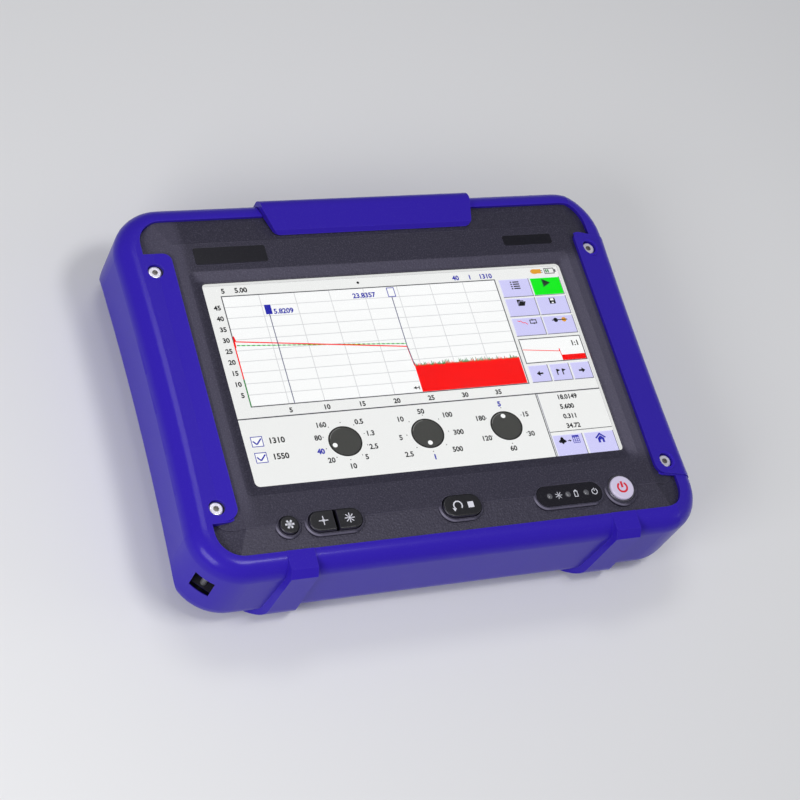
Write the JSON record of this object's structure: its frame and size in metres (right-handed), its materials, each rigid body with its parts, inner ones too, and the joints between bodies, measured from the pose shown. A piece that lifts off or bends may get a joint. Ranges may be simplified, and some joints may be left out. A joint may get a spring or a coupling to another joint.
{
  "type": "optical time domain reflectometer",
  "caption": "Handheld optical time domain reflectometer: tablet-shaped tester with a rubber bumper, a wide display, front keys, a hinged port cover and a fold-out stand.",
  "frame": {"origin": "on the table, under the middle of the tester, which lies on its back", "axes": "+X to the right of the screen, +Y towards the top edge with the ports, +Z out of the screen"},
  "size_m": [0.212, 0.1586, 0.0432],
  "materials": {
    "blue_rubber": "soft, slightly rough blue-violet rubber",
    "front_grey": "fine grained dark grey",
    "rear_grey": "fine grained dark grey",
    "screw_steel": "bright turned steel",
    "dark_steel": "zinc plated steel",
    "black_rubber": "dull black rubber",
    "stand_metal": "dark anodised aluminium",
    "key_black": "satin black keycap",
    "key_white": "pale satin keycap",
    "ring_metal": "satin metal ring",
    "plate_gloss": "glossy dark plate",
    "window_black": "glossy black lamp window",
    "screen_glass": "clear touch glass",
    "display_metal": "thin rolled steel",
    "foam": "black foam",
    "board_green": "green solder mask",
    "chip_black": "matt black packages",
    "shield_tin": "tin plated sheet",
    "contact_brass": "gilt contacts",
    "lamp_clear": "clear light rods",
    "lamp_white": "small lamp bodies",
    "switch_body": "switch bodies",
    "optics_alloy": "cast and bead blasted alloy",
    "tray_plastic": "pale moulded tray",
    "fibre_yellow": "yellow buffered fibre",
    "adapter_nickel": "nickel plated brass",
    "sleeve_blue": "shrunk battery sleeve",
    "flex_amber": "amber flat cable",
    "socket_metal": "nickel plated shells",
    "speaker_black": "speaker frame"
  },
  "bodies": {
    "case": {"bumper": "blue_rubber", "strap_screws": "screw_steel", "strap_bars": "dark_steel", "front_housing": "front_grey", "housing_gasket": "black_rubber", "rear_housing": "rear_grey", "case_screws": "dark_steel", "back_pads": "black_rubber", "cover_hinge_pin": "dark_steel", "kickstand_pins": "dark_steel", "battery_door": "rear_grey", "battery_door_seal": "black_rubber", "battery_door_screws": "dark_steel", "battery_pack": "sleeve_blue", "battery_contacts": "contact_brass", "touch_glass": "screen_glass", "foam_gasket": "foam", "display_module": "display_metal", "display_frame": "display_metal", "display_screws": "dark_steel", "display_flex": "flex_amber", "main_board": "board_green", "board_chips": "chip_black", "shield_can": "shield_tin", "board_screws": "dark_steel", "key_board": "board_green", "key_switches": "switch_body", "key_board_screws": "dark_steel", "status_lamps": "lamp_white", "lamp_window": "window_black", "lamp_guides": "lamp_clear", "power_ring": "ring_metal", "label_plate_left": "plate_gloss", "label_plate_right": "plate_gloss", "optical_module": "optics_alloy", "optical_lid": "optics_alloy", "fibre_tray": "tray_plastic", "fibre_coil": "fibre_yellow", "fibre_pigtails": "fibre_yellow", "optical_adapters": "adapter_nickel", "adapter_nuts": "adapter_nickel", "dust_caps": "black_rubber", "port_board": "board_green", "usb_a_socket": "socket_metal", "usb_c_socket": "socket_metal", "power_socket": "chip_black", "speaker": "speaker_black"},
    "port_cover": {"port_cover": "blue_rubber"},
    "kickstand": {"kickstand": "stand_metal", "kickstand_foot": "black_rubber"},
    "round_button": {"round_button": "key_black"},
    "brightness_down_button": {"brightness_down_button": "key_black"},
    "brightness_up_button": {"brightness_up_button": "key_black"},
    "start_stop_button": {"start_stop_button": "key_black"},
    "power_button": {"power_button": "key_white"}
  },
  "joints": [
    {"name": "port_cover_hinge", "type": "hinge", "parent": "case", "child": "port_cover", "pos_m": [0, 0.0773, 0.008], "axis": [-1, 0, 0], "range_deg": [0, 95]},
    {"name": "kickstand_hinge", "type": "hinge", "parent": "case", "child": "kickstand", "pos_m": [0, 0.036, 0.00495], "axis": [1, 0, 0], "range_deg": [0, 60]},
    {"name": "round_press", "type": "slide", "parent": "case", "child": "round_button", "axis": [0, 0, -1], "range_m": [0, 0.0008], "stiffness_N_per_m": 1500},
    {"name": "brightness_down_press", "type": "slide", "parent": "case", "child": "brightness_down_button", "axis": [0, 0, -1], "range_m": [0, 0.0008], "stiffness_N_per_m": 1500},
    {"name": "brightness_up_press", "type": "slide", "parent": "case", "child": "brightness_up_button", "axis": [0, 0, -1], "range_m": [0, 0.0008], "stiffness_N_per_m": 1500},
    {"name": "start_stop_press", "type": "slide", "parent": "case", "child": "start_stop_button", "axis": [0, 0, -1], "range_m": [0, 0.0008], "stiffness_N_per_m": 1500},
    {"name": "power_press", "type": "slide", "parent": "case", "child": "power_button", "axis": [0, 0, -1], "range_m": [0, 0.0008], "stiffness_N_per_m": 1500}
  ]
}
